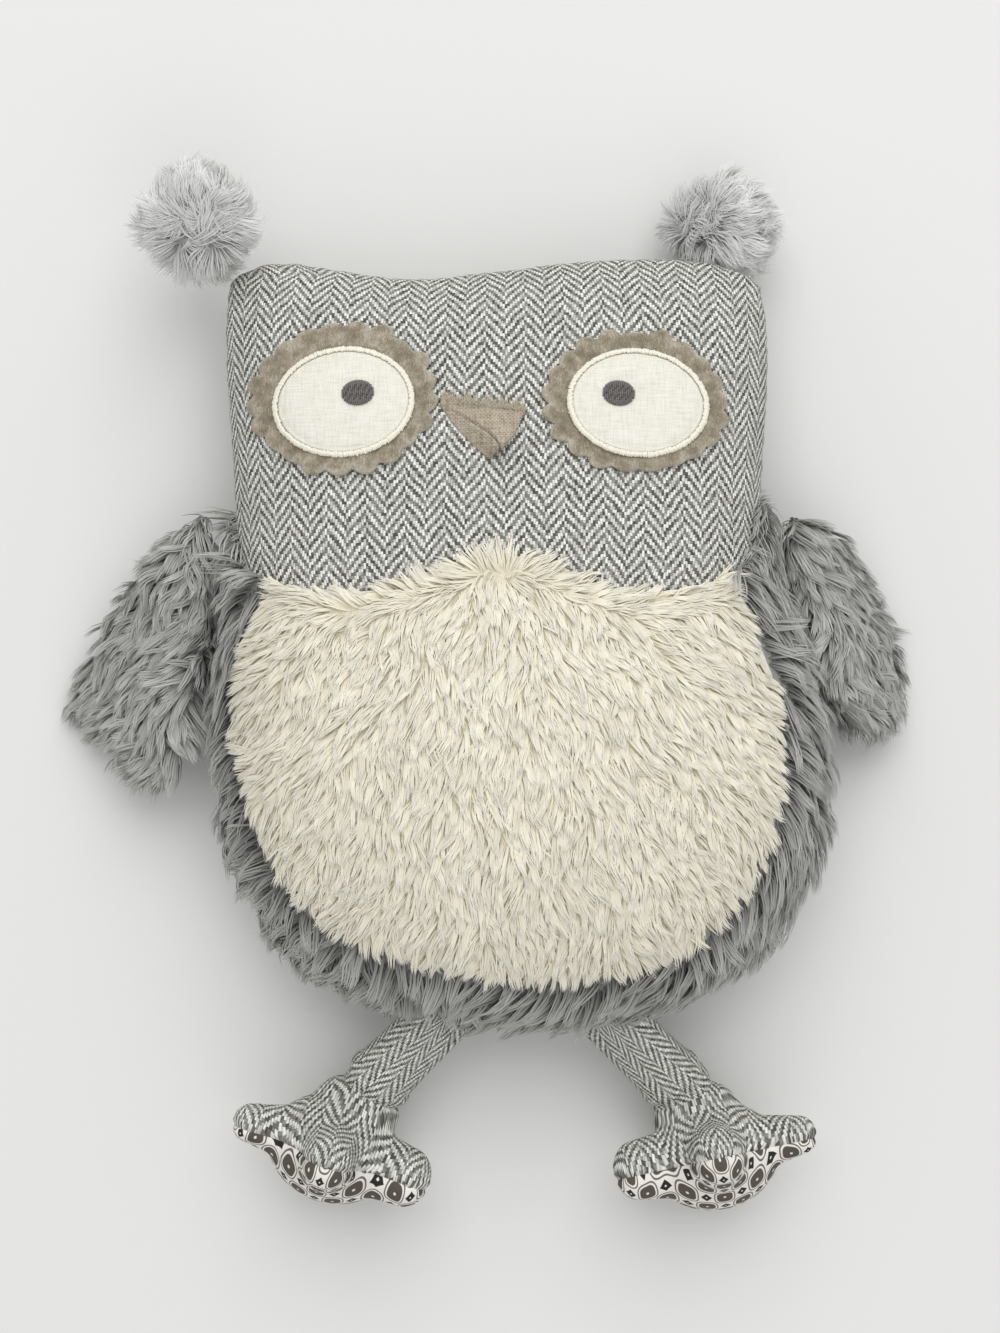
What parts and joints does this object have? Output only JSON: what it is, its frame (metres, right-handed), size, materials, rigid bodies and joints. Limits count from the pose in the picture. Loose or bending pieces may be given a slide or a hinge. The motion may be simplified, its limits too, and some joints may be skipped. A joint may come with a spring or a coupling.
{
  "type": "plush owl",
  "caption": "Stuffed owl toy with a woven head, pile body, felt and linen eyes, folded beak, pompom ears, hinged wings, legs and three-toed feet, lying on its back.",
  "frame": {"origin": "point on the flat of the back where the owl lies, under the middle of the belly", "axes": "+X to the viewer's right when the face is towards the viewer, +Y from the feet to the head, +Z out of the face and belly"},
  "size_m": [0.309, 0.3812, 0.0951],
  "materials": {
    "tweed": "woven wool herringbone, grey and cream",
    "cream_pile": "long cream pile in tufts",
    "grey_pile": "short mixed grey pile",
    "pale_pile": "pale grey pile gathered in a ball",
    "eye_felt": "wool felt with a scalloped edge",
    "eye_linen": "plain woven cream linen",
    "eye_stitching": "satin stitched cream thread",
    "pupil_thread": "satin stitched grey thread",
    "beak_linen": "slubby beige linen with a frayed edge",
    "sole_print": "printed cotton, white lattice on brown grey",
    "stuffing": "loose white polyester fibre",
    "tacking_thread": "twisted sewing thread"
  },
  "bodies": {
    "body": {"head_front_panel": "tweed", "head_back_panel": "tweed", "belly_panel": "cream_pile", "body_front_panel": "grey_pile", "body_back_panel": "grey_pile", "body_stuffing": "stuffing", "eye_felt_left": "eye_felt", "eye_felt_right": "eye_felt", "eye_linen_left": "eye_linen", "eye_linen_right": "eye_linen", "eye_rim_left": "eye_stitching", "eye_rim_right": "eye_stitching", "pupil_left": "pupil_thread", "pupil_right": "pupil_thread"},
    "beak": {"beak": "beak_linen"},
    "pompom_left": {"pompom_cover_left": "pale_pile", "pompom_stuffing_left": "stuffing", "pompom_thread_left": "tacking_thread"},
    "pompom_right": {"pompom_cover_right": "pale_pile", "pompom_stuffing_right": "stuffing", "pompom_thread_right": "tacking_thread"},
    "wing_left": {"wing_top_panel_left": "grey_pile", "wing_under_panel_left": "grey_pile"},
    "wing_right": {"wing_top_panel_right": "grey_pile", "wing_under_panel_right": "grey_pile"},
    "leg_left": {"leg_skin_left": "tweed", "leg_stuffing_left": "stuffing"},
    "leg_right": {"leg_skin_right": "tweed", "leg_stuffing_right": "stuffing"},
    "foot_left": {"foot_top_left": "tweed", "foot_sole_left": "sole_print", "foot_stuffing_left": "stuffing"},
    "foot_right": {"foot_top_right": "tweed", "foot_sole_right": "sole_print", "foot_stuffing_right": "stuffing"}
  },
  "joints": [
    {"name": "beak_flap", "type": "hinge", "parent": "body", "child": "beak", "pos_m": [-0.0068, 0.10309, 0.0728], "axis": [-0.9902, 0.1348, -0.0358], "range_deg": [0, 75]},
    {"name": "pompom_wobble_left", "type": "hinge", "parent": "body", "child": "pompom_left", "pos_m": [-0.09966, 0.16113, 0.03475], "axis": [0.7456, 0.6664, 0], "range_deg": [-60, 15], "stiffness_Nm_per_rad": 0.02},
    {"name": "pompom_wobble_right", "type": "hinge", "parent": "body", "child": "pompom_right", "pos_m": [0.07688, 0.16567, 0.03254], "axis": [0.9825, -0.1863, 0], "range_deg": [0, 45]},
    {"name": "wing_fold_left", "type": "hinge", "parent": "body", "child": "wing_left", "pos_m": [-0.10455, 0.07137, 0.03365], "axis": [0.1285, 0.9917, 0], "range_deg": [-10, 60]},
    {"name": "wing_fold_right", "type": "hinge", "parent": "body", "child": "wing_right", "pos_m": [0.10275, 0.07149, 0.03365], "axis": [0.2643, -0.9644, 0], "range_deg": [-10, 75]},
    {"name": "hip_left", "type": "hinge", "parent": "body", "child": "leg_left", "pos_m": [-0.03098, -0.12277, 0.03365], "axis": [-1, 0, 0], "range_deg": [-10, 75], "stiffness_Nm_per_rad": 0.02},
    {"name": "hip_right", "type": "hinge", "parent": "body", "child": "leg_right", "pos_m": [0.04602, -0.12322, 0.03365], "axis": [-1, 0, 0], "range_deg": [-10, 75], "stiffness_Nm_per_rad": 0.02},
    {"name": "ankle_left", "type": "hinge", "parent": "leg_left", "child": "foot_left", "pos_m": [-0.0503, -0.14355, 0.02268], "axis": [-1, 0, 0], "range_deg": [-20, 20], "stiffness_Nm_per_rad": 0.01},
    {"name": "ankle_right", "type": "hinge", "parent": "leg_right", "child": "foot_right", "pos_m": [0.06727, -0.14555, 0.01816], "axis": [-1, 0, 0], "range_deg": [-20, 20], "stiffness_Nm_per_rad": 0.01}
  ]
}
